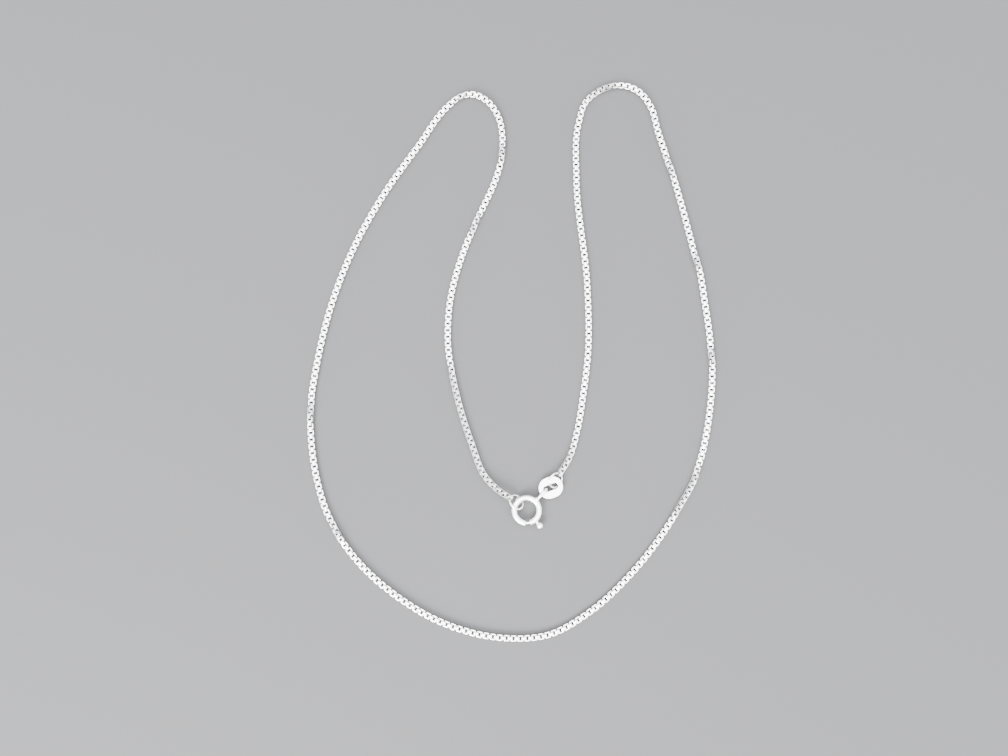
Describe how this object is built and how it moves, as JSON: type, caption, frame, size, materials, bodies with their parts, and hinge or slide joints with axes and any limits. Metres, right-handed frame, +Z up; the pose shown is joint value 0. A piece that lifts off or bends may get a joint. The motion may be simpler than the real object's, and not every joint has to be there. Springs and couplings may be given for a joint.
{
  "type": "necklace",
  "caption": "Fine box chain necklace of square interlocked links, closed by a spring ring clasp with an eye, jump rings and an oval slotted tag, lying flat in a wide loop.",
  "frame": {"origin": "on the surface that the necklace lies on, under the middle of its footprint", "axes": "+X to the viewer's right, +Y away from the front of the neck loop towards its two bends, +Z up from the surface"},
  "size_m": [0.0797, 0.1097, 0.0024],
  "materials": {
    "chain_silver": "polished silver links, bright on their flats and dark inside their windows",
    "clasp_silver": "polished silver wire and tube with fine handling scratches",
    "tag_silver": "stamped polished silver plate, bare"
  },
  "bodies": {
    "necklace": {"box_chain": "chain_silver", "end_link_left": "chain_silver", "end_link_right": "chain_silver", "clasp_ring": "clasp_silver", "catch_ring": "clasp_silver", "tag": "tag_silver", "tag_ring": "clasp_silver"},
    "bolt": {"clasp_bolt": "clasp_silver"}
  },
  "joints": [
    {"name": "bolt_turn", "type": "hinge", "parent": "necklace", "child": "bolt", "pos_m": [0.0029, -0.0303, 0.00113], "axis": [0, 0, 1], "range_deg": [0, 45], "stiffness_Nm_per_rad": 0.004, "springref_deg": -34.38}
  ]
}
